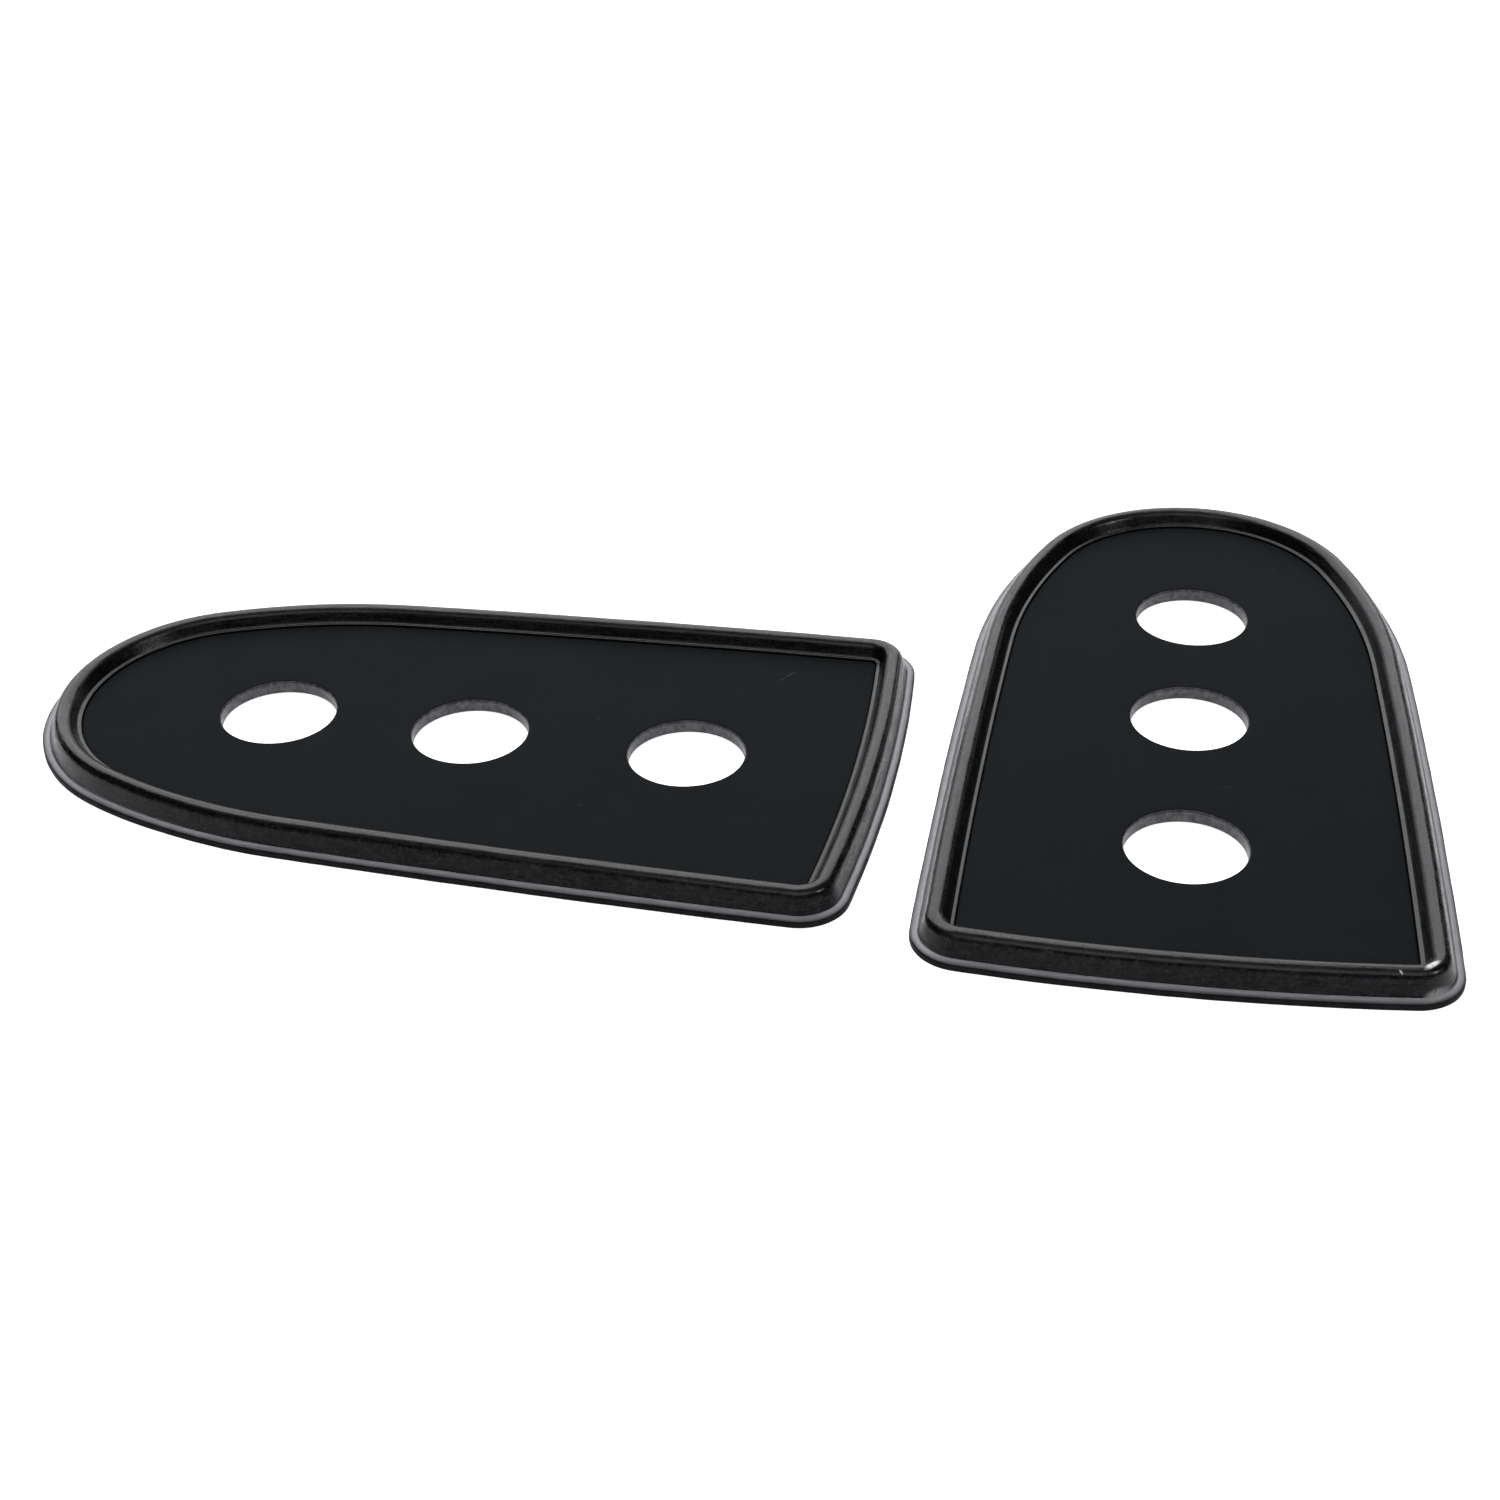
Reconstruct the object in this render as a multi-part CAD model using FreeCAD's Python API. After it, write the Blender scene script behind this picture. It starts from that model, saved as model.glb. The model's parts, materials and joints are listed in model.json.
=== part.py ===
import FreeCAD
import Part
import math
import os

# A pair of identical black rubber guard pads, lying loose side by side.
# Each pad is a flat face plate with three through-holes on its centreline,
# held all round by an edge bead: a raised round-topped rim with a narrow lip
# standing out at its foot. One end of the pad is square with small corners,
# the other end is rounded. Units are millimetres, +Z is up and Z = 0 is the
# surface that the pads lie on.

V = FreeCAD.Vector

# ---------------------------------------------------------------- driving dimensions
HOLE_R = 5.8             # through-hole radius
HOLE_EDGE_R = 0.30       # rounding of each hole's upper edge
HOLE_FOOT_C = 0.12       # small chamfer at each hole's lower edge
PITCH_ROUND = 20.3       # middle hole to the hole at the rounded end
PITCH_SQUARE = 22.3      # middle hole to the hole at the square end

PLATE_T = 1.45           # thickness of the face plate
PLATE_EDGE_C = 0.20      # bevel of the plate's upper outer edge, the crease beside the bead
BEAD_TOP = 3.0           # height of the bead's crest
BEAD_R = 1.00            # radius of the bead's rounded top
BEAD_CREST_IN = 2.25     # crest's distance in from the lip's outer edge
BEAD_SLOPE = 60.0        # degrees: angle of the bead's inner slope, from level
BEAD_FOOT_R = 0.20       # concave radius where the inner slope meets the welt
WELT_H = 0.18            # the welt, a narrow ledge inside the bead, above the face
WELT_EDGE_R = 0.10       # rounding of the welt's inner edge
WALL_DRAFT = 20.0        # degrees: the bead's outer wall leans in from upright
LIP_T = 0.70             # thickness of the lip
LIP_EDGE_R = 0.25        # rounding of the lip's upper outer edge
LIP_ROOT_R = 0.15        # concave radius where the lip meets the bead's wall
SEAT_IN = 4.00           # plate edge's distance in from the lip's outer edge

TONGUE_OUT = 0.9         # the plate's edge tongue, buried in the bead
TONGUE_Z0 = 0.45
TONGUE_Z1 = 0.95

# Plan outline of the lip's outer edge, origin on the middle hole, local +X
# towards the rounded end. It is a chain of tangent arcs, each given by its
# radius and the direction of its outward normal where it ends.
TIP_X = 44.4             # the rounded end's outermost point
TIP_R, TIP_END = 19.1, 65.7
SHOULDER_R, SHOULDER_END = 58.8, 86.6
SIDE_R, SIDE_END = 1018.0, 89.4
CORNER_R = 4.8
SQUARE_R = 205.0         # the square end is very slightly bowed

# Layout: where each pad lies. Turn is the direction of the rounded end.
LEFT_AT, LEFT_TURN = (0.0, 0.0), 167.7
RIGHT_AT, RIGHT_TURN = (72.2, -0.2), 80.3


# ---------------------------------------------------------------- outline arcs
def outline_arcs():
    """Arcs from the rounded tip round to the square end: centre, radius and
    the normal's direction at the start and end, in radians."""
    ends = [math.radians(a) for a in (TIP_END, SHOULDER_END, SIDE_END)]
    radii = [TIP_R, SHOULDER_R, SIDE_R, CORNER_R]
    c = V(TIP_X - TIP_R, 0, 0)
    out = []
    start = 0.0
    for i in range(3):
        out.append((c, radii[i], start, ends[i]))
        start = ends[i]
        d = radii[i] - radii[i + 1]
        c = c + V(math.cos(start), math.sin(start), 0) * d
    corner_end = math.pi - math.asin(c.y / (SQUARE_R - CORNER_R))
    out.append((c, CORNER_R, start, corner_end))
    c = c + V(math.cos(corner_end), math.sin(corner_end), 0) * (CORNER_R - SQUARE_R)
    c = V(c.x, 0, 0)
    half = out
    full = [(half[0][0], TIP_R, -half[0][3], half[0][3])]
    full += half[1:]
    full.append((c, SQUARE_R, corner_end, 2 * math.pi - corner_end))
    for cc, r, a, b in reversed(half[1:]):
        full.append((V(cc.x, -cc.y, 0), r, 2 * math.pi - b, 2 * math.pi - a))
    return full


def outline_wire(inset, z):
    edges = []
    for c, r, a, b in outline_arcs():
        r = r - inset
        m = 0.5 * (a + b)
        p = [c + V(r * math.cos(t), r * math.sin(t), 0) + V(0, 0, z) for t in (a, m, b)]
        edges.append(Part.Arc(p[0], p[1], p[2]).toShape())
    return Part.Wire(Part.__sortEdges__(edges))


def outline_prism(inset, z0, z1):
    return Part.Face(outline_wire(inset, z0)).extrude(V(0, 0, z1 - z0))


# ---------------------------------------------------------------- edge bead
def bead_section():
    """Closed section of the bead in the plane X = inset, Y = height."""
    cx, cz = BEAD_CREST_IN, BEAD_TOP - BEAD_R
    # the outer wall runs down from here and meets the lip's top at inset root
    d = math.radians(WALL_DRAFT)
    wx, wz = cx - BEAD_R * math.cos(d), cz + BEAD_R * math.sin(d)
    root = wx - (wz - LIP_T) * math.tan(d)
    s = math.radians(BEAD_SLOPE)
    # the inner slope leaves the rounded top here
    tx, tz = cx + BEAD_R * math.sin(s), cz + BEAD_R * math.cos(s)
    # and meets the welt with a concave radius
    welt = PLATE_T + WELT_H
    run = (tz - welt) / math.tan(s)
    t = BEAD_FOOT_R * math.tan(s / 2)
    fx = tx + run
    f0 = (fx - t * math.cos(s), welt + t * math.sin(s))
    f1 = (fx + t, welt)
    fc = (fx + t, welt + BEAD_FOOT_R)
    fm = (fc[0] - BEAD_FOOT_R * math.sin(s / 2), fc[1] - BEAD_FOOT_R * math.cos(s / 2))

    def P(x, z):
        return V(x, z, 0)

    def line(a, b):
        return Part.LineSegment(P(*a), P(*b)).toShape()

    def arc(a, b, c):
        return Part.Arc(P(*a), P(*b), P(*c)).toShape()

    k = math.sqrt(0.5)
    r1, r2 = LIP_EDGE_R, LIP_ROOT_R
    e = []
    e.append(line((0, 0), (0, LIP_T - r1)))
    e.append(arc((0, LIP_T - r1), (r1 - r1 * k, LIP_T - r1 + r1 * k), (r1, LIP_T)))
    q = r2 * math.tan(0.5 * (math.pi / 2 - d))
    h = 0.5 * (-math.pi / 2 - d)
    rc = (root - q, LIP_T + r2)
    w0 = (root + q * math.sin(d), LIP_T + q * math.cos(d))
    e.append(line((r1, LIP_T), (root - q, LIP_T)))
    e.append(arc((root - q, LIP_T), (rc[0] + r2 * math.cos(h), rc[1] + r2 * math.sin(h)), w0))
    e.append(line(w0, (wx, wz)))
    h = 0.5 * ((math.pi - d) + (math.pi / 2 - s))
    e.append(arc((wx, wz), (cx + BEAD_R * math.cos(h), cz + BEAD_R * math.sin(h)), (tx, tz)))
    e.append(line((tx, tz), f0))
    e.append(arc(f0, fm, f1))
    w = WELT_EDGE_R
    e.append(line(f1, (SEAT_IN - w, welt)))
    e.append(arc((SEAT_IN - w, welt), (SEAT_IN - w + w * k, welt - w + w * k), (SEAT_IN, welt - w)))
    e.append(line((SEAT_IN, welt - w), (SEAT_IN, TONGUE_Z1)))
    e.append(line((SEAT_IN, TONGUE_Z1), (SEAT_IN - TONGUE_OUT, TONGUE_Z1)))
    e.append(line((SEAT_IN - TONGUE_OUT, TONGUE_Z1), (SEAT_IN - TONGUE_OUT, TONGUE_Z0)))
    e.append(line((SEAT_IN - TONGUE_OUT, TONGUE_Z0), (SEAT_IN, TONGUE_Z0)))
    e.append(line((SEAT_IN, TONGUE_Z0), (SEAT_IN, 0)))
    e.append(line((SEAT_IN, 0), (0, 0)))
    return Part.Face(Part.Wire(e))


def edge_bead():
    section = bead_section()
    spans = []
    for c, r, a, b in outline_arcs():
        # section X (inset) runs inward from radius r, section Y is height
        f = section.copy()
        m = FreeCAD.Matrix()
        m.A11, m.A12, m.A13, m.A14 = -math.cos(a), 0, -math.sin(a), c.x + r * math.cos(a)
        m.A21, m.A22, m.A23, m.A24 = -math.sin(a), 0, math.cos(a), c.y + r * math.sin(a)
        m.A31, m.A32, m.A33, m.A34 = 0, 1, 0, 0
        f.Placement = FreeCAD.Placement(m)
        spans.append(f.revolve(c, V(0, 0, 1), math.degrees(b - a)))
    ring = spans[0].multiFuse(spans[1:])
    ring = ring.removeSplitter()
    return ring.Solids[0] if len(ring.Solids) == 1 else ring


# ---------------------------------------------------------------- face plate
def hole_cutter(x):
    """Turned cutter for one hole: straight wall, rounded upper edge and a
    small chamfer at the foot."""
    r, f, g, t = HOLE_R, HOLE_EDGE_R, HOLE_FOOT_C, PLATE_T
    k = math.sqrt(0.5)
    pts = [V(0, 0, -1), V(r + g, 0, -1), V(r + g, 0, 0), V(r, 0, g), V(r, 0, t - f)]
    e = [Part.LineSegment(pts[i], pts[i + 1]).toShape() for i in range(4)]
    e.append(Part.Arc(pts[4], V(r + f - f * k, 0, t - f + f * k), V(r + f, 0, t)).toShape())
    top = [V(r + f, 0, t), V(r + f, 0, t + 1), V(0, 0, t + 1), V(0, 0, -1)]
    e += [Part.LineSegment(top[i], top[i + 1]).toShape() for i in range(3)]
    s = Part.Face(Part.Wire(e)).revolve(V(0, 0, 0), V(0, 0, 1), 360)
    s.translate(V(x, 0, 0))
    return s


def face_plate():
    body = outline_prism(SEAT_IN, 0, PLATE_T - PLATE_EDGE_C)
    top = Part.makeLoft([outline_wire(SEAT_IN, PLATE_T - PLATE_EDGE_C),
                         outline_wire(SEAT_IN + PLATE_EDGE_C, PLATE_T)], True, True)
    body = body.fuse(top)
    tongue = outline_prism(SEAT_IN - TONGUE_OUT, TONGUE_Z0, TONGUE_Z1)
    body = body.fuse(tongue).removeSplitter()
    for x in (PITCH_ROUND, 0.0, -PITCH_SQUARE):
        body = body.cut(hole_cutter(x))
    return body.Solids[0] if len(body.Solids) == 1 else body


# ---------------------------------------------------------------- pair
def placed(shape, at, turn):
    s = shape.copy()
    s.rotate(V(0, 0, 0), V(0, 0, 1), turn)
    s.translate(V(at[0], at[1], 0))
    return s


plate = face_plate()
bead = edge_bead()

nodes = {
    "left_face_plate": placed(plate, LEFT_AT, LEFT_TURN),
    "left_edge_bead": placed(bead, LEFT_AT, LEFT_TURN),
    "right_face_plate": placed(plate, RIGHT_AT, RIGHT_TURN),
    "right_edge_bead": placed(bead, RIGHT_AT, RIGHT_TURN),
}

# The origin is the centre of the pair's bounding box, on the resting surface.
box = Part.makeCompound(list(nodes.values())).optimalBoundingBox(False)
shift = V(-box.Center.x, -box.Center.y, 0)
for s in nodes.values():
    s.translate(shift)

os.makedirs("parts", exist_ok=True)
for name, s in nodes.items():
    s.exportStep("parts/%s.step" % name)
    b = s.optimalBoundingBox(False)
    print("%-18s solids %d valid %s volume %.1f mm3 box %.2f x %.2f x %.2f" % (
        name, len(s.Solids), s.isValid(), s.Volume, b.XLength, b.YLength, b.ZLength))

for side, at, turn in (("left", LEFT_AT, LEFT_TURN), ("right", RIGHT_AT, RIGHT_TURN)):
    for which, x in (("round_end", PITCH_ROUND), ("middle", 0.0), ("square_end", -PITCH_SQUARE)):
        p = V(at[0] + x * math.cos(math.radians(turn)) + shift.x,
              at[1] + x * math.sin(math.radians(turn)) + shift.y, 0)
        print("hole %s %s at %.4f %.4f" % (side, which, p.x, p.y))
print("shift %.5f %.5f" % (shift.x, shift.y))
print("pair box %.3f x %.3f x %.3f" % (box.XLength, box.YLength, box.ZLength))
print("bead and plate overlap %.6f mm3" % bead.common(plate).Volume)
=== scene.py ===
import json
import math

import bpy
import bmesh
from mathutils import Matrix, Vector, noise
from mathutils.geometry import delaunay_2d_cdt


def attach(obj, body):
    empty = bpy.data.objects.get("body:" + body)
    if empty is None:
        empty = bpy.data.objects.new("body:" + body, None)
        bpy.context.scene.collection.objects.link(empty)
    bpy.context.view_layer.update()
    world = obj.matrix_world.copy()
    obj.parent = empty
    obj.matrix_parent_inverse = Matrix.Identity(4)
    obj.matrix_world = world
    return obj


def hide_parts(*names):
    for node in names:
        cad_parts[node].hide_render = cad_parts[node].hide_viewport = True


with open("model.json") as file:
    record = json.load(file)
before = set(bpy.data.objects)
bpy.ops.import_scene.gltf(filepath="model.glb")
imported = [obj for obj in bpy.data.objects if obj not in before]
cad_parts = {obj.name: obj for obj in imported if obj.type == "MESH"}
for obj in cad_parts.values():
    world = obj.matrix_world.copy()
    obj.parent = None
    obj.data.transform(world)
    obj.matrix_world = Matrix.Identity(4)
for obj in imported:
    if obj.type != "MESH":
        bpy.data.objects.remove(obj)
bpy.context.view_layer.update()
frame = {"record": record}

MM = 0.001
scene = bpy.context.scene

# ------------------------------------------------------------------ camera
CAM_AT = (1.558 * MM, -208.327 * MM, 135.74 * MM)
CAM_DOWN = math.radians(33.31)
CAM_ROLL = math.radians(1.11)
CAM_FOCAL_PX = 2473.1


def make_camera():
    fwd = Vector((0, math.cos(CAM_DOWN), -math.sin(CAM_DOWN)))
    r0, d0 = Vector((1, 0, 0)), Vector((0, -math.sin(CAM_DOWN), -math.cos(CAM_DOWN)))
    right = r0 * math.cos(CAM_ROLL) + d0 * math.sin(CAM_ROLL)
    down = d0 * math.cos(CAM_ROLL) - r0 * math.sin(CAM_ROLL)
    up, back = -down, -fwd
    m = Matrix(((right.x, up.x, back.x, CAM_AT[0]),
                (right.y, up.y, back.y, CAM_AT[1]),
                (right.z, up.z, back.z, CAM_AT[2]),
                (0, 0, 0, 1)))
    data = bpy.data.cameras.new("camera")
    data.sensor_fit = "HORIZONTAL"
    data.sensor_width = 36.0
    data.lens = 36.0 * CAM_FOCAL_PX / 1500.0
    data.clip_start, data.clip_end = 0.005, 20.0
    cam = bpy.data.objects.new("camera", data)
    cam.matrix_world = m
    scene.collection.objects.link(cam)
    scene.camera = cam


make_camera()

# ------------------------------------------------------------------ pad outline, mm, local +X to the rounded end
TIP_X = 44.4
TIP_R, TIP_END = 19.1, 65.7
SHOULDER_R, SHOULDER_END = 58.8, 86.6
SIDE_R, SIDE_END = 1018.0, 89.4
CORNER_R = 4.8
SQUARE_R = 205.0
PITCH_ROUND, PITCH_SQUARE = 20.3, 22.3
HOLE_R, HOLE_EDGE_R, HOLE_FOOT_C = 5.8, 0.30, 0.12
PLATE_T = 1.45
SEAT_IN = 4.0


def outline_arcs():
    ends = [math.radians(a) for a in (TIP_END, SHOULDER_END, SIDE_END)]
    radii = [TIP_R, SHOULDER_R, SIDE_R, CORNER_R]
    c = Vector((TIP_X - TIP_R, 0))
    half, start = [], 0.0
    for i in range(3):
        half.append((c.copy(), radii[i], start, ends[i]))
        start = ends[i]
        c = c + Vector((math.cos(start), math.sin(start))) * (radii[i] - radii[i + 1])
    corner_end = math.pi - math.asin(c.y / (SQUARE_R - CORNER_R))
    half.append((c.copy(), CORNER_R, start, corner_end))
    c = c + Vector((math.cos(corner_end), math.sin(corner_end))) * (CORNER_R - SQUARE_R)
    c = Vector((c.x, 0))
    full = [(half[0][0], TIP_R, -half[0][3], half[0][3])] + half[1:]
    full.append((c, SQUARE_R, corner_end, 2 * math.pi - corner_end))
    for cc, r, a, b in reversed(half[1:]):
        full.append((Vector((cc.x, -cc.y)), r, 2 * math.pi - b, 2 * math.pi - a))
    return full


ARCS = outline_arcs()


def outline_samples(step):
    """Stations round the outline: arc centre, radius, normal direction and
    distance along the outer edge."""
    out, run = [], 0.0
    for c, r, a, b in ARCS:
        n = max(6, int(math.ceil(r * (b - a) / step)), int(math.ceil(math.degrees(b - a) / 3.0)))
        for i in range(n):
            t = a + (b - a) * i / n
            out.append((c, r, t, run + r * (b - a) * i / n))
        run += r * (b - a)
    return out, run


def pad_pose(side):
    m = {k["name"]: k["pos_m"] for k in frame["record"]["mounts"]}
    a, b = m[side + "_middle_hole"], m[side + "_round_end_hole"]
    t = math.atan2(b[1] - a[1], b[0] - a[0])
    return Matrix.Translation((a[0], a[1], 0)) @ Matrix.Rotation(t, 4, "Z") @ Matrix.Scale(MM, 4)


def link(name, bm, materials, pose):
    mesh = bpy.data.meshes.new(name)
    bm.transform(pose)
    bm.normal_update()
    bm.to_mesh(mesh)
    bm.free()
    for m in materials:
        mesh.materials.append(m)
    ob = bpy.data.objects.new(name, mesh)
    scene.collection.objects.link(ob)
    return ob


def nz(x, y, z):
    return noise.noise(Vector((x, y, z)))


# ------------------------------------------------------------------ materials
class Nodes:
    def __init__(self, name):
        self.mat = bpy.data.materials.new(name)
        self.mat.use_nodes = True
        self.t = self.mat.node_tree
        self.t.nodes.clear()
        self.out = self.new("ShaderNodeOutputMaterial")
        self.bsdf = self.new("ShaderNodeBsdfPrincipled")
        self.wire(self.bsdf.outputs["BSDF"], self.out.inputs["Surface"])
        co = self.new("ShaderNodeTexCoord")
        mp = self.new("ShaderNodeMapping")
        mp.inputs["Scale"].default_value = (1000, 1000, 1000)   # texture space in millimetres
        self.wire(co.outputs["Object"], mp.inputs["Vector"])
        self.co = mp.outputs["Vector"]

    def new(self, kind):
        return self.t.nodes.new(kind)

    def wire(self, a, b):
        self.t.links.new(a, b)

    def noise(self, scale, detail=3.0, rough=0.5, vec=None, distortion=0.0):
        n = self.new("ShaderNodeTexNoise")
        n.inputs["Scale"].default_value = scale
        n.inputs["Detail"].default_value = detail
        n.inputs["Roughness"].default_value = rough
        n.inputs["Distortion"].default_value = distortion
        self.wire(vec or self.co, n.inputs["Vector"])
        return n.outputs["Fac"]

    def voronoi(self, scale, feature="F1", out="Distance"):
        n = self.new("ShaderNodeTexVoronoi")
        n.feature = feature
        n.inputs["Scale"].default_value = scale
        self.wire(self.co, n.inputs["Vector"])
        return n.outputs[out]

    def ramp(self, fac, lo, hi, a, b):
        n = self.new("ShaderNodeMapRange")
        n.interpolation_type = "SMOOTHSTEP"
        n.inputs["From Min"].default_value = lo
        n.inputs["From Max"].default_value = hi
        n.inputs["To Min"].default_value = a
        n.inputs["To Max"].default_value = b
        self.wire(fac, n.inputs["Value"])
        return n.outputs["Result"]

    def math(self, op, a, b):
        n = self.new("ShaderNodeMath")
        n.operation = op
        for i, v in enumerate((a, b)):
            if isinstance(v, (int, float)):
                n.inputs[i].default_value = v
            else:
                self.wire(v, n.inputs[i])
        return n.outputs[0]

    def mix(self, fac, a, b):
        n = self.new("ShaderNodeMix")
        n.data_type = "RGBA"
        if isinstance(fac, (int, float)):
            n.inputs[0].default_value = fac
        else:
            self.wire(fac, n.inputs[0])
        for i, v in ((6, a), (7, b)):
            if isinstance(v, tuple):
                n.inputs[i].default_value = (*v, 1)
            else:
                self.wire(v, n.inputs[i])
        return n.outputs[2]

    def attribute(self, name):
        n = self.new("ShaderNodeAttribute")
        n.attribute_type = "GEOMETRY"
        n.attribute_name = name
        return n.outputs["Vector"]

    def scaled(self, vec, by):
        n = self.new("ShaderNodeMapping")
        n.inputs["Scale"].default_value = by
        self.wire(vec, n.inputs["Vector"])
        return n.outputs["Vector"]

    def spot(self, x, y, half, wide, turn, z=1.45, tall=4.0):
        """1 inside a small soft ellipse on the surface, 0 outside it."""
        n = self.new("ShaderNodeMapping")
        n.vector_type = "TEXTURE"
        n.inputs["Location"].default_value = (x, y, z)
        n.inputs["Rotation"].default_value = (0, 0, math.radians(turn))
        n.inputs["Scale"].default_value = (half, wide, tall)
        self.wire(self.co, n.inputs["Vector"])
        d = self.new("ShaderNodeVectorMath")
        d.operation = "LENGTH"
        self.wire(n.outputs["Vector"], d.inputs[0])
        return self.ramp(d.outputs["Value"], 0.4, 1.0, 1, 0)

    def bump(self, height, strength, distance, normal=None):
        n = self.new("ShaderNodeBump")
        n.inputs["Strength"].default_value = strength
        n.inputs["Distance"].default_value = distance
        self.wire(height, n.inputs["Height"])
        if normal is not None:
            self.wire(normal, n.inputs["Normal"])
        return n.outputs["Normal"]

    def set(self, **kw):
        for k, v in kw.items():
            s = self.bsdf.inputs[k.replace("_", " ")]
            if isinstance(v, (int, float, tuple)):
                s.default_value = (*v, 1) if isinstance(v, tuple) and len(v) == 3 else v
            else:
                self.wire(v, s)


def face_material():
    """Matte moulded rubber: charcoal with a cold tint, fine grain, faint scuffs and a few marks."""
    n = Nodes("matte_face_rubber")
    cloud = n.noise(0.11, 3)
    grain = n.noise(5.5, 4, 0.6)
    col = n.mix(n.ramp(cloud, 0.35, 0.65, 0, 1), (0.0042, 0.0058, 0.0061), (0.0050, 0.0067, 0.0070))
    pale = n.ramp(n.noise(1.3, 5, 0.7), 0.70, 0.82, 0, 0.30)
    col = n.mix(pale, col, (0.013, 0.015, 0.016))
    # small handling marks: where (mm), half length, half width, turn
    for x, y, half, wide, turn, tone in MARKS:
        soft = n.noise(3.0, 3, 0.6)
        m = n.math("MULTIPLY", n.spot(x, y, half, wide, turn), n.ramp(soft, 0.35, 0.6, 0.35, 1))
        col = n.mix(n.math("MULTIPLY", m, tone), col, (0.16, 0.165, 0.17))
    n.set(Base_Color=col, Roughness=n.ramp(grain, 0.3, 0.7, 0.60, 0.74))
    n.bsdf.inputs["Specular IOR Level"].default_value = 0.04
    b = n.bump(grain, 0.25, 0.00002)
    b = n.bump(n.noise(0.5, 2), 0.2, 0.00004, b)
    n.set(Normal=b)
    return n.mat


MARKS = [(5.9, 10.1, 1.0, 0.13, 43, 0.30), (5.0, 9.1, 0.5, 0.10, 46, 0.18),
         (59.6, 30.2, 0.28, 0.16, 10, 0.14), (47.2, -12.1, 0.75, 0.12, 4, 0.10),
         (-14.8, -13.0, 0.28, 0.18, 40, 0.12), (-13.7, 2.5, 0.26, 0.18, 70, 0.10)]


# painted glints on the beads: pale spots that stand in for highlights at the right pad's corner (the first three,
# one purple), and two pale patches low on the lip: where (mm), half length, half width, height reached, turn, how
# strong, and colour
PAINTED_GLINTS_AND_FLECKS = [(59.70, -41.90, 2.80, 1.20, 0.36, 0.8, 35, 0.95, (0.80, 0.81, 0.80)),
        (56.85, -42.60, 2.70, 0.30, 0.11, 0.7, -58, 0.85, (0.62, 0.63, 0.62)),
        (18.15, -36.20, 2.70, 0.42, 0.13, 0.7, 4, 0.60, (0.30, 0.26, 0.42)),
        (55.20, -42.40, 0.80, 0.40, 0.16, 0.7, 12, 0.60, (0.52, 0.53, 0.50)),
        (60.10, -43.00, 0.70, 1.90, 0.90, 0.9, 38, 0.60, (0.46, 0.47, 0.44))]


def bead_material(name, low, high, rough, spec, peel=0.35, dust=0.0, lip_painted_highlight=None):
    """Glossy moulded rubber: near black, with orange peel, small pits, and
    fine streaks that run along the ring; optionally pale dust, a painted highlight across the lip's section, and
    painted glints at listed spots."""
    n = Nodes(name)
    ring = n.attribute("ring")
    blot = n.noise(0.6, 4, 0.6)
    fine = n.noise(2.3, 4, 0.65)
    streak = n.noise(1.0, 4, 0.6, vec=n.scaled(ring, (0.35, 0.35, 5.0)))
    col = n.mix(n.ramp(blot, 0.35, 0.7, 0, 1), low, high)
    if dust:
        d = n.math("MULTIPLY", n.ramp(fine, 0.48, 0.72, 0, 1), n.ramp(streak, 0.40, 0.65, 0.25, 1))
        col = n.mix(n.math("MULTIPLY", d, dust), col, (0.085, 0.080, 0.092))
    if lip_painted_highlight:
        # painted highlight along the section: the rubber's near black at the lip's outer side, then a painted pale
        # grey that grows toward the bead's wall, standing in for light on the lip
        run = n.new("ShaderNodeSeparateXYZ")
        n.wire(ring, run.inputs["Vector"])
        z = run.outputs["Z"]
        pale = n.math("MULTIPLY", n.ramp(z, 0.62, 1.20, 0.0, 1.0), n.ramp(streak, 0.30, 0.65, 0.65, 1.0))
        col = n.mix(pale, col, lip_painted_highlight)
        col = n.mix(n.ramp(z, 0.35, 0.62, 1.0, 0.0), col, (0.0035, 0.0035, 0.0040))
    # painted glints: pale spots mixed into the colour in place of highlights, plus two pale patches on the lip
    for x, y, z, half, wide, tall, turn, tone, tint in PAINTED_GLINTS_AND_FLECKS:
        m = n.math("MULTIPLY", n.spot(x, y, half, wide, turn, z, tall), n.ramp(fine, 0.30, 0.50, 0.55, 1))
        col = n.mix(n.math("MULTIPLY", m, tone), col, tint)
    r = n.math("ADD", n.ramp(fine, 0.3, 0.75, rough, rough + 0.16), n.ramp(streak, 0.42, 0.68, 0.0, 0.16))
    n.set(Base_Color=col, Roughness=r)
    n.bsdf.inputs["Specular IOR Level"].default_value = spec
    b = n.bump(n.noise(1.1, 3, 0.5), peel, 0.00003)
    b = n.bump(n.noise(3.2, 3, 0.6), peel * 0.9, 0.000016, b)
    b = n.bump(streak, peel * 0.8, 0.00002, b)
    b = n.bump(n.ramp(n.voronoi(2.6), 0.0, 0.28, 0, 1), 0.25, 0.00003, b)
    n.set(Normal=b)
    return n.mat


def wall_material():
    """The holes' walls: the same rubber in a grey, streaked and rougher tone."""
    n = Nodes("hole_wall_rubber")
    streak = n.noise(1.6, 4, 0.65)
    col = n.mix(n.ramp(streak, 0.36, 0.66, 0, 1), (0.022, 0.021, 0.024), (0.085, 0.081, 0.090))
    n.set(Base_Color=col, Roughness=n.ramp(streak, 0.3, 0.7, 0.30, 0.48))
    n.bsdf.inputs["Specular IOR Level"].default_value = 0.4
    n.set(Normal=n.bump(n.noise(2.5, 4, 0.6), 0.45, 0.00005))
    return n.mat


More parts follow.
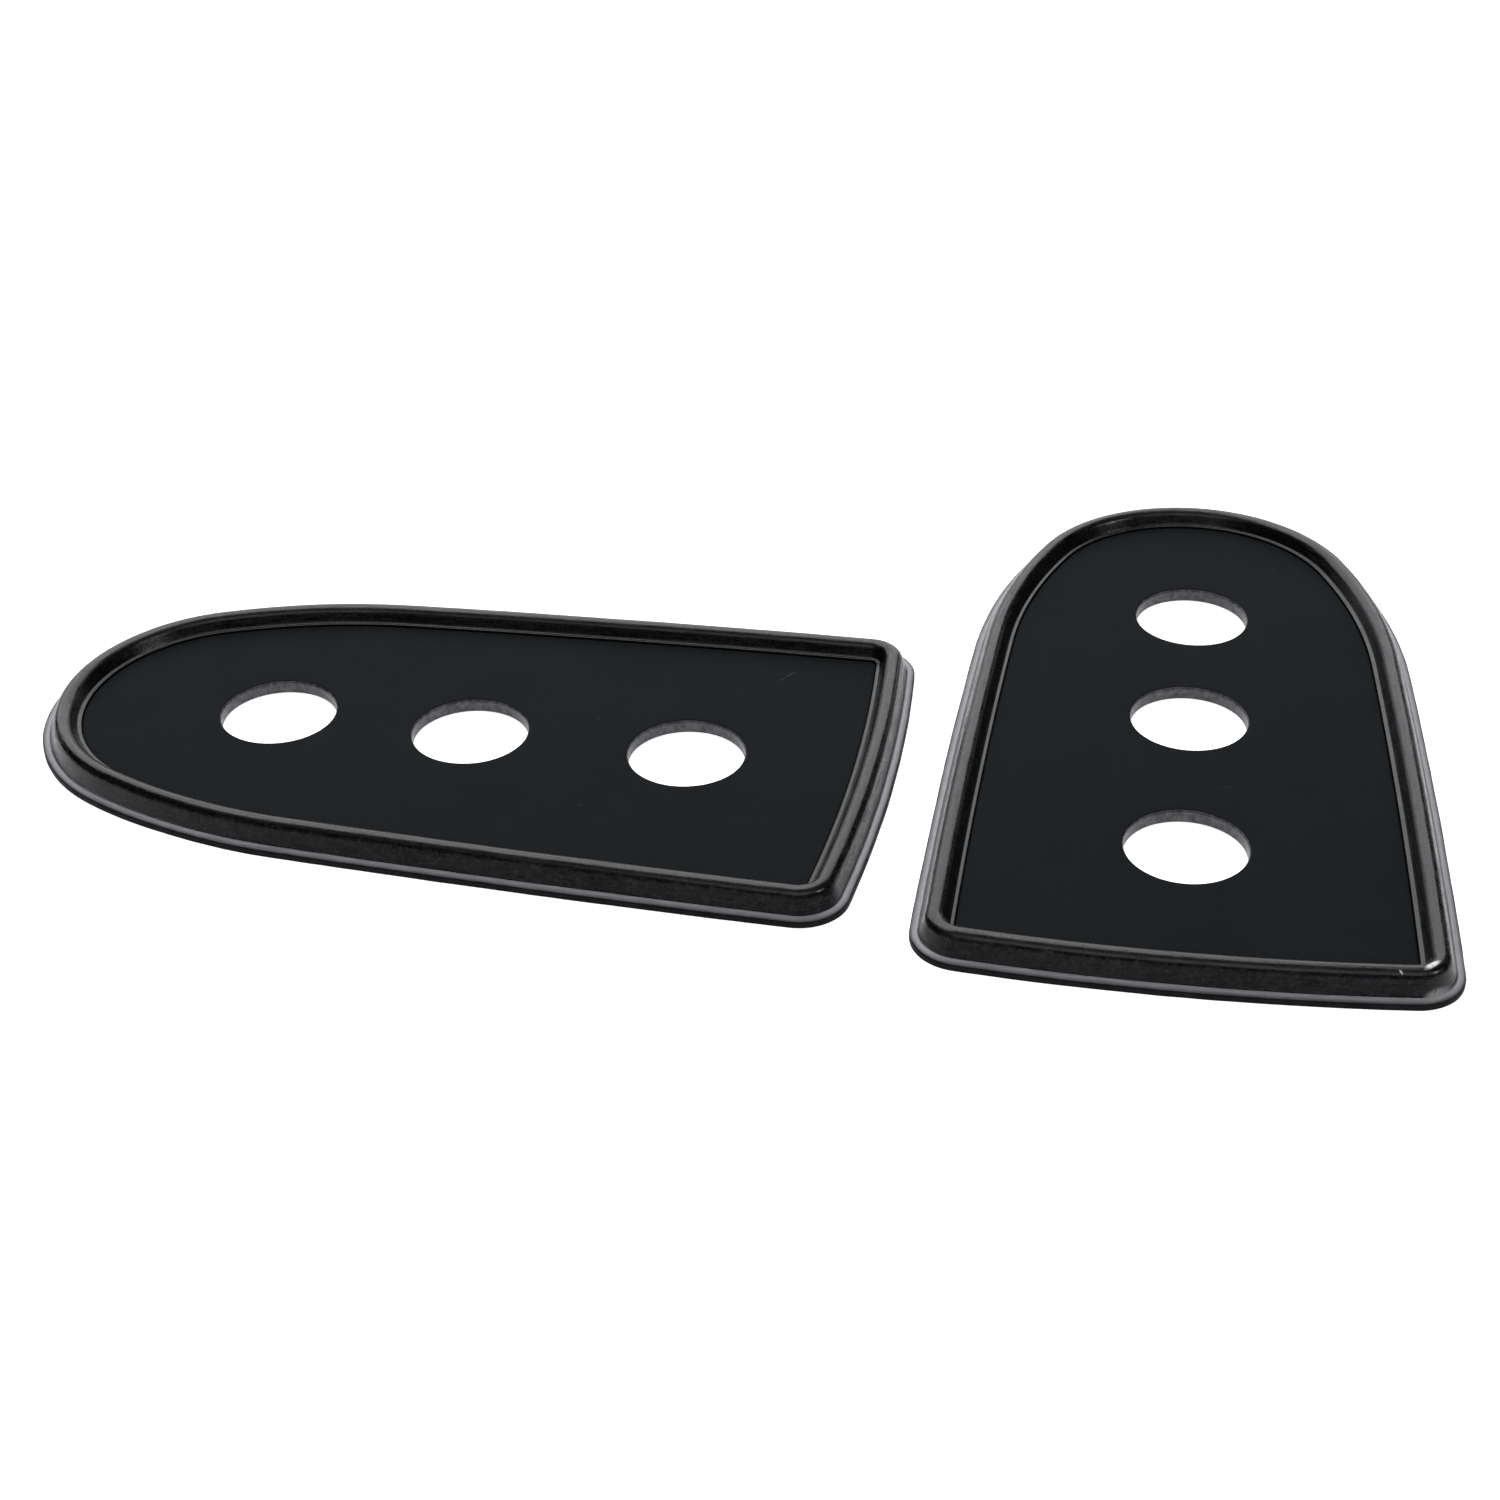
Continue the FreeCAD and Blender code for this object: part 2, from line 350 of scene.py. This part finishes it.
FACE = face_material()
BEAD = bead_material("gloss_bead_rubber", (0.0008, 0.0008, 0.0012), (0.0030, 0.0030, 0.0040), 0.15, 0.32)
SIDE = bead_material("gloss_side_rubber", (0.0015, 0.0015, 0.0020), (0.0060, 0.0058, 0.0070), 0.20, 0.22, 0.55, 0.30)
# the lip: its grey base and pale root are a painted highlight, far paler than the black rubber it is made of
LIP_PAINTED_HIGHLIGHT = bead_material("lip_rubber_painted_highlight", (0.034, 0.033, 0.036), (0.070, 0.068, 0.075), 0.30, 0.30, 0.45, 0.20,
                    (0.360, 0.353, 0.372))
EDGE = bead_material("lip_edge_rubber", (0.0040, 0.0040, 0.0046), (0.0090, 0.0088, 0.0100), 0.48, 0.06, 0.45)
WALL = wall_material()


# ------------------------------------------------------------------ edge bead
BEAD_TOP, BEAD_R, BEAD_CREST_IN, BEAD_SLOPE = 3.0, 1.00, 2.25, 60.0
BEAD_FOOT_R, WELT_H, WELT_EDGE_R = 0.20, 0.18, 0.10
LIP_T, LIP_EDGE_R, LIP_ROOT_R, WALL_DRAFT = 0.70, 0.25, 0.15, 20.0


def arc_pts(c, r, a0, a1, n):
    return [(c[0] + r * math.cos(math.radians(a0 + (a1 - a0) * i / n)),
             c[1] + r * math.sin(math.radians(a0 + (a1 - a0) * i / n))) for i in range(n + 1)]


def bead_section():
    """(inset, height, part) round the closed section; part 0 is the lip and 1 the bead."""
    cx, cz = BEAD_CREST_IN, BEAD_TOP - BEAD_R
    d = math.radians(WALL_DRAFT)
    wx, wz = cx - BEAD_R * math.cos(d), cz + BEAD_R * math.sin(d)
    root = wx - (wz - LIP_T) * math.tan(d)
    q = LIP_ROOT_R * math.tan(0.5 * (math.pi / 2 - d))
    welt = PLATE_T + WELT_H
    s = math.radians(BEAD_SLOPE)
    tx, tz = cx + BEAD_R * math.sin(s), cz + BEAD_R * math.cos(s)
    t = BEAD_FOOT_R * math.tan(s / 2)
    fx = tx + (tz - welt) / math.tan(s)
    lip, bead = [], []
    lip += [(0.0, 0.0), (0.0, 0.08), (0.0, 0.16)]
    lip += arc_pts((LIP_EDGE_R, LIP_T - LIP_EDGE_R), LIP_EDGE_R, 180, 90, 10)
    for i in range(1, 4):
        lip.append((LIP_EDGE_R + (root - q - LIP_EDGE_R) * i / 4, LIP_T))
    lip += arc_pts((root - q, LIP_T + LIP_ROOT_R), LIP_ROOT_R, -90, -WALL_DRAFT, 6)
    w0 = (root + q * math.sin(d), LIP_T + q * math.cos(d))
    for i in range(1, 9):
        bead.append((w0[0] + (wx - w0[0]) * i / 9, w0[1] + (wz - w0[1]) * i / 9))
    bead += arc_pts((cx, cz), BEAD_R, 180 - WALL_DRAFT, 90 - BEAD_SLOPE, 30)
    f0 = (fx - t * math.cos(s), welt + t * math.sin(s))
    for i in range(1, 4):
        bead.append((tx + (f0[0] - tx) * i / 4, tz + (f0[1] - tz) * i / 4))
    bead += arc_pts((fx + t, welt + BEAD_FOOT_R), BEAD_FOOT_R, 270 - BEAD_SLOPE, 270, 6)
    for i in range(1, 4):
        bead.append((fx + t + (SEAT_IN - WELT_EDGE_R - fx - t) * i / 4, welt))
    bead += arc_pts((SEAT_IN - WELT_EDGE_R, welt - WELT_EDGE_R), WELT_EDGE_R, 90, 0, 6)
    bead += [(SEAT_IN, 1.1), (SEAT_IN, 0.55), (SEAT_IN, 0.0), (2.5, 0.0), (1.2, 0.0)]
    return [(e, z, 0) for e, z in lip] + [(e, z, 1) for e, z in bead]


def build_bead(side, seed):
    sec = bead_section()
    st, total = outline_samples(0.32)
    bm = bmesh.new()
    ring_at = bm.verts.layers.float_vector.new("ring")
    rings = []
    run = [0.0]
    for a, b in zip(sec, sec[1:]):
        run.append(run[-1] + math.hypot(b[0] - a[0], b[1] - a[1]))
    for c, r, t, d in st:
        # closed, repeatable waviness round the ring
        u, v = math.cos(2 * math.pi * d / total), math.sin(2 * math.pi * d / total)
        k = total / (2 * math.pi)

        def wave(length, off):
            return nz(u * k / length, v * k / length, seed + off)

        edge = 0.05 * wave(9, 1) + 0.025 * wave(2.2, 2)
        crest = 0.030 * wave(13, 3) + 0.010 * wave(3.0, 4)
        lean = 0.035 * wave(11, 5) + 0.010 * wave(2.6, 6)
        lift = 0.03 * wave(7, 7)
        ring = []
        for si, (e, z, part) in enumerate(sec):
            de = dz = 0.0
            if part == 0:
                k1 = 1 - min(1.0, e / 0.75)
                de = edge * k1
                if z > 0.15:
                    dz = lift * min(1, (z - 0.15) / 0.2)
            elif e < SEAT_IN - 0.1 and z > 0:
                h = max(0.0, min(1.0, (z - LIP_T) / (BEAD_TOP - LIP_T)))
                w = h * h * (3 - 2 * h)
                f = 1 if e < 3.3 else max(0.0, (SEAT_IN - 0.1 - e) / (SEAT_IN - 3.4))
                dz, de = crest * w * f, lean * w * f
            rr = r - (e + de)
            p = Vector((c.x + rr * math.cos(t), c.y + rr * math.sin(t), max(0.0, z + dz)))
            vv = bm.verts.new(p)
            vv[ring_at] = Vector((u * k, v * k, run[si]))
            ring.append(vv)
        rings.append(ring)
    n, m = len(rings), len(sec)
    for i in range(n):
        a, b = rings[i], rings[(i + 1) % n]
        for j in range(m):
            k2 = (j + 1) % m
            f = bm.faces.new((a[j], b[j], b[k2], a[k2]))
            f.smooth = True
            if sec[j][2] == 0 and run[j] < LIP_T - 0.35 * LIP_EDGE_R:
                f.material_index = 3
            elif sec[j][2] == 0 and sec[k2][2] == 0:
                f.material_index = 1
            elif sec[j][2] == 1 and sec[k2][0] <= BEAD_CREST_IN - 0.75 * BEAD_R and sec[j][1] > 0:
                f.material_index = 2
            else:
                f.material_index = 0
    bmesh.ops.recalc_face_normals(bm, faces=bm.faces)
    for e in bm.edges:
        if len(e.link_faces) == 2 and e.calc_face_angle(0) > math.radians(50):
            e.smooth = False
    ob = link(side + "_bead_skin", bm, [BEAD, LIP_PAINTED_HIGHLIGHT, SIDE, EDGE], pad_pose(side))
    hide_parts(side + "_edge_bead")
    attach(ob, side + "_pad")
    return ob


# ------------------------------------------------------------------ face plate
def build_plate(side, seed):
    gap = 0.02
    outer_top = 0.22
    edge_profile = [(SEAT_IN + gap + outer_top, PLATE_T)]
    edge_profile += [(SEAT_IN + gap + outer_top * (1 - math.sin(math.radians(a))),
                      PLATE_T - outer_top * (1 - math.cos(math.radians(a)))) for a in (22, 45, 67, 90)]
    edge_profile += [(SEAT_IN + gap, 0.8), (SEAT_IN + gap, 0.0)]
    st, total = outline_samples(0.55)
    holes = (PITCH_ROUND, 0.0, -PITCH_SQUARE)
    bm = bmesh.new()

    def ripple(x, y):
        return 0.012 * nz(x / 9, y / 9, seed) + 0.004 * nz(x / 2.2, y / 2.2, seed + 3)

    def vert(x, y, z):
        w = max(0.0, min(1.0, (z - 0.8) / 0.6))
        return bm.verts.new((x, y, z + w * ripple(x, y)))

    def ring_faces(rings, mats):
        for i in range(len(rings) - 1):
            a, b = rings[i], rings[i + 1]
            for j in range(len(a)):
                k = (j + 1) % len(a)
                f = bm.faces.new((a[j], a[k], b[k], b[j]))
                f.smooth = True
                f.material_index = mats(i)

    rings = []
    for e, z in edge_profile:
        rings.append([vert(c.x + (r - e) * math.cos(t), c.y + (r - e) * math.sin(t), z) for c, r, t, d in st])
    ring_faces(rings, lambda i: 0)
    loops_top, loops_bottom = [rings[0]], [rings[-1]]

    for hi, hx in enumerate(holes):
        prof = [(HOLE_R + HOLE_EDGE_R, PLATE_T)]
        prof += [(HOLE_R + HOLE_EDGE_R * (1 - math.sin(math.radians(a))),
                  PLATE_T - HOLE_EDGE_R * (1 - math.cos(math.radians(a)))) for a in (12, 24, 36, 48, 60, 72, 84, 90)]
        prof += [(HOLE_R, 0.85), (HOLE_R, 0.5), (HOLE_R, HOLE_FOOT_C), (HOLE_R + HOLE_FOOT_C, 0.0)]
        nseg = 144
        rings = []
        for r, z in prof:
            ring = []
            for k in range(nseg):
                t = 2 * math.pi * k / nseg
                rr = r + 0.03 * nz(1.6 * math.cos(t), 1.6 * math.sin(t), seed + 11 + hi * 5) * (1 if z > 0 else 0)
                ring.append(vert(hx + rr * math.cos(t), rr * math.sin(t), z))
            rings.append(ring)
        ring_faces([list(q) for q in rings], lambda i: 1 if i >= 3 else 0)
        loops_top.append(rings[0])
        loops_bottom.append(rings[-1])

    def cap(loops, step, z, inset):
        pts, edges = [], []
        owner, rim = [], []
        for li, loop in enumerate(loops):
            base = len(pts)
            for i, v in enumerate(loop):
                pts.append(Vector((v.co.x, v.co.y)))
                owner.append(v)
                rim.append(li)
                edges.append((base + i, base + (i + 1) % len(loop)))
        row = 0
        y = -26.0
        while y < 26.0:
            x = -45.0 + (step / 2 if row % 2 else 0)
            while x < 46.0:
                ok = all(math.hypot(x - h, y) > HOLE_R + HOLE_EDGE_R + 0.45 * step for h in holes)
                if ok and in_pad(x, y, inset + 0.45 * step):
                    pts.append(Vector((x, y)))
                    owner.append(None)
                    rim.append(-1)
                x += step
            y += step * 0.866
            row += 1
        co, ed, fa, ov, oe, of_ = delaunay_2d_cdt(pts, edges, [], 0, 1e-9)
        made, on = [], [set(rim[j] for j in src) for src in ov]
        for i, p in enumerate(co):
            src = [owner[j] for j in ov[i] if owner[j] is not None]
            made.append(src[0] if src else vert(p.x, p.y, z))
        for f in fa:
            cx = sum(co[i].x for i in f) / 3
            cy = sum(co[i].y for i in f) / 3
            # a triangle between three points of one hole's rim lies in the hole
            if any(all(h in on[i] for i in f) for h in range(1, len(loops))):
                continue
            if not in_pad(cx, cy, inset - 0.01):
                continue
            try:
                g = bm.faces.new([made[i] for i in f])
            except ValueError:
                continue
            g.smooth = True
            g.material_index = 0

    cap(loops_top, 1.1, PLATE_T, SEAT_IN + gap + outer_top)
    cap(loops_bottom, 4.0, 0.0, SEAT_IN + gap)
    bmesh.ops.delete(bm, geom=[v for v in bm.verts if not v.link_faces], context="VERTS")
    bmesh.ops.recalc_face_normals(bm, faces=bm.faces)
    for e in bm.edges:
        if len(e.link_faces) == 2 and e.calc_face_angle(0) > math.radians(40):
            e.smooth = False
    ob = link(side + "_face_skin", bm, [FACE, WALL], pad_pose(side))
    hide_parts(side + "_face_plate")
    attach(ob, side + "_pad")
    return ob


_POLY = {}


def in_pad(x, y, inset):
    key = round(inset, 4)
    if key not in _POLY:
        st, total = outline_samples(1.0)
        _POLY[key] = [(c.x + (r - inset) * math.cos(t), c.y + (r - inset) * math.sin(t)) for c, r, t, d in st]
    poly = _POLY[key]
    hit = False
    j = len(poly) - 1
    for i in range(len(poly)):
        xi, yi = poly[i]
        xj, yj = poly[j]
        if (yi > y) != (yj > y) and x < (xj - xi) * (y - yi) / (yj - yi) + xi:
            hit = not hit
        j = i
    return hit


for side, seed in (("left", 3.7), ("right", 21.3)):
    build_bead(side, seed)
    build_plate(side, seed + 50)

# ------------------------------------------------------------------ floor and light
def floor_material():
    n = Nodes("white_floor")
    col = n.mix(n.ramp(n.noise(0.02, 2), 0.4, 0.6, 0, 1), (0.88, 0.88, 0.885), (0.90, 0.90, 0.902))
    n.set(Base_Color=col, Roughness=0.75)
    n.bsdf.inputs["Specular IOR Level"].default_value = 0.2
    n.bsdf.inputs["Emission Color"].default_value = (1.0, 1.0, 1.0, 1)
    n.bsdf.inputs["Emission Strength"].default_value = 0.80
    return n.mat


bm = bmesh.new()
bmesh.ops.create_circle(bm, cap_ends=True, radius=6.0, segments=96)
floor = link("floor", bm, [floor_material()], Matrix.Identity(4))


def softbox(name, at, aim, size, power, color=(1, 1, 1)):
    data = bpy.data.lights.new(name, "AREA")
    data.shape = "RECTANGLE"
    data.size, data.size_y = size
    data.energy = power
    data.color = color
    ob = bpy.data.objects.new(name, data)
    ob.location = at
    d = Vector(aim) - Vector(at)
    ob.rotation_mode = "QUATERNION"
    ob.rotation_quaternion = d.to_track_quat("-Z", "Y")
    scene.collection.objects.link(ob)
    return ob


mid = (0, 0, 0)
softbox("back_softbox", (-0.10, 0.85, 0.62), mid, (1.5, 0.75), 9.5, (0.98, 0.965, 1.0))
softbox("high_softbox", (-0.15, 0.48, 1.02), mid, (0.9, 0.5), 6.0, (0.98, 0.965, 1.0))
softbox("low_softbox", (0.0, 1.30, 0.18), (0, 0, 0.10), (2.4, 0.34), 2.0)
softbox("right_softbox", (0.80, -0.35, 0.62), mid, (0.22, 0.22), 1.4, (0.97, 0.95, 1.0))
softbox("front_softbox", (0.05, -0.62, 0.85), mid, (1.0, 0.5), 2.4, (0.98, 0.97, 1.0))
softbox("top_softbox", (0.0, 0.0, 1.2), mid, (1.6, 1.0), 1.5)

world = bpy.data.worlds.new("studio")
world.use_nodes = True
bg = world.node_tree.nodes["Background"]
bg.inputs["Color"].default_value = (0.93, 0.94, 1.0, 1)
bg.inputs["Strength"].default_value = 0.03
# the pale studio wall behind the floor, seen directly; it adds no light of its own
wt = world.node_tree
wall = wt.nodes.new("ShaderNodeBackground")
wall.inputs["Color"].default_value = (0.94, 0.94, 0.945, 1)
wall.inputs["Strength"].default_value = 1.0
ray = wt.nodes.new("ShaderNodeLightPath")
both = wt.nodes.new("ShaderNodeMixShader")
wt.links.new(ray.outputs["Is Camera Ray"], both.inputs[0])
wt.links.new(bg.outputs[0], both.inputs[1])
wt.links.new(wall.outputs[0], both.inputs[2])
wt.links.new(both.outputs[0], wt.nodes["World Output"].inputs["Surface"])
scene.world = world
scene.view_settings.view_transform = "Standard"
scene.view_settings.look = "None"
